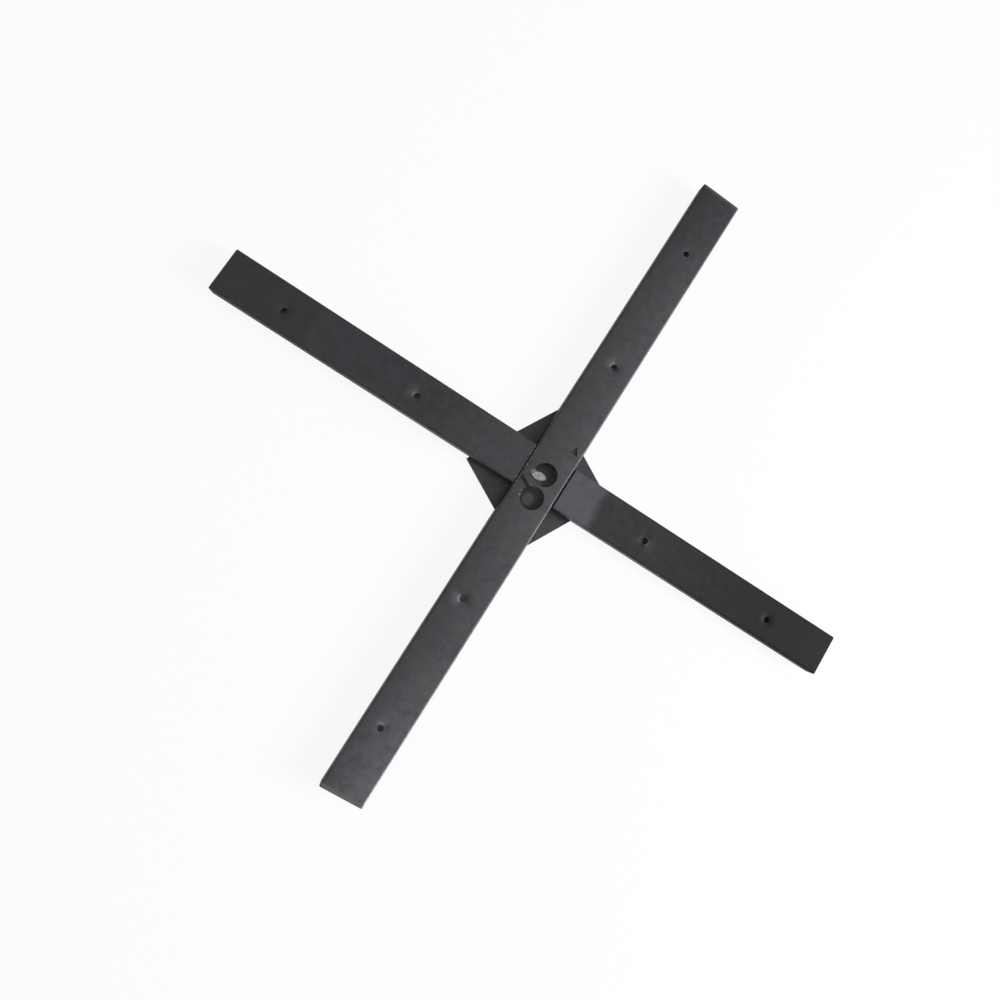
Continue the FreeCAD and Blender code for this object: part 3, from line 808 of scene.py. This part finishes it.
def bead_points(corner, outward, run, shift):
    """Rings of points along a bead: each starts on its corner line and runs from outward to downward."""
    points = []
    for station in range(BEAD_STATIONS + 1):
        share = station / BEAD_STATIONS
        start = corner + run * BEAD_LENGTH * (share - 0.5)
        points.append(start)
        for step in range(BEAD_STEPS + 1):
            angle = step / BEAD_STEPS * math.pi / 2
            direction = outward * math.cos(angle) - Vector((0, 0, math.sin(angle)))
            points.append(start + direction * bead_reach(share, angle, shift))
    return points


def bead_faces():
    """Faces between the rings, and one across each end."""
    ring = BEAD_STEPS + 2
    faces = []
    for station in range(BEAD_STATIONS):
        first = station * ring
        for step in range(ring):
            follower = (step + 1) % ring
            faces.append((first + step, first + follower, first + ring + follower, first + ring + step))
    last = BEAD_STATIONS * ring
    faces.append(tuple(reversed(range(ring))))
    faces.append(tuple(range(last, last + ring)))
    return faces


def make_weld_beads(material):
    """Rippled beads in place of the plain solids, each laid by its solid's own box."""
    rng = random.Random(BEAD_SEED)
    for name, edge_turn in BEADS:
        low, high = (Vector(corner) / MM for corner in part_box(name))
        outward = Vector((math.cos(edge_turn + PLATE_TURN), math.sin(edge_turn + PLATE_TURN), 0))
        run = Vector((-outward.y, outward.x, 0))
        corner = (low + high) / 2 - outward * BEAD_LEG / 2
        corner.z = high.z
        points = [point * MM for point in bead_points(corner, outward, run, rng.random())]
        piece = add_piece(f"{name}_rippled", points, bead_faces(), material)
        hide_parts(name)


# Floor: its side in metres, how far below the plate it lies in millimetres, its tones, the share that glows

FLOOR_SIDE = 80
FLOOR_DROP = 0.1
FLOOR_TONE = (0.86, 0.86, 0.86, 1)
FLOOR_GLOW = (1, 1, 1, 1)
FLOOR_GLOW_SHARE = 0.9

# The same for the ground under the crossing, and the distances over which it turns to that
SHADED_RADII = (34, 24)
SHADED_TONE = (0.62, 0.62, 0.56, 1)
SHADED_GLOW = (1, 1, 0.9, 1)
SHADED_GLOW_SHARES = (0.14, 0.25)


def make_floor_material():
    """Matt and pale, near white to seeing rays, with a faint shadow; darker under the crossing."""
    shader = Shader("pale_floor")
    shaded = shader.step(shader.distance((0, 0)), *SHADED_RADII)
    matt = shader.add("ShaderNodeBsdfDiffuse", Color=shader.mix(shaded, FLOOR_TONE, SHADED_TONE))
    glow_tone = shader.mix(shaded, FLOOR_GLOW, SHADED_GLOW)
    glow = shader.add("ShaderNodeEmission", Color=glow_tone, Strength=1.0)
    patchy = shader.blend(shader.patches(*GROUND_PATCHES), *SHADED_GLOW_SHARES)
    share = shader.times(seeing_rays(shader.tree), shader.blend(shaded, FLOOR_GLOW_SHARE, patchy))
    both = shader.add("ShaderNodeMixShader")
    for socket, value in zip(both.inputs, (share, matt.outputs[0], glow.outputs[0])):
        shader.plug(socket, value)
    shader.output(both)
    return shader.material


def make_floor():
    half = FLOOR_SIDE / 2
    mesh = bpy.data.meshes.new("floor")
    corners = [(x * half, y * half, -FLOOR_DROP * MM) for x, y in ((-1, -1), (1, -1), (1, 1), (-1, 1))]
    mesh.from_pydata(corners, [], [(0, 1, 2, 3)])
    mesh.materials.append(make_floor_material())
    floor = bpy.data.objects.new("floor", mesh)
    bpy.context.scene.collection.objects.link(floor)


def dress_nodes():
    """Gives each solid its material, and the beads their rippled pieces."""
    weld = make_weld_material()
    materials = {
        "long_tube": make_long_tube_material(),
        "short_tube_east": make_short_tube_material(1),
        "short_tube_west": make_short_tube_material(-1),
        "mounting_plate": make_plate_material(),
    }
    for name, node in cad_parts.items():
        node.data.materials.clear()
        node.data.materials.append(materials.get(name, weld))
    make_weld_beads(weld)


make_camera()
make_lights()
make_floor()
dress_nodes()
bpy.context.scene.view_settings.view_transform = "Standard"
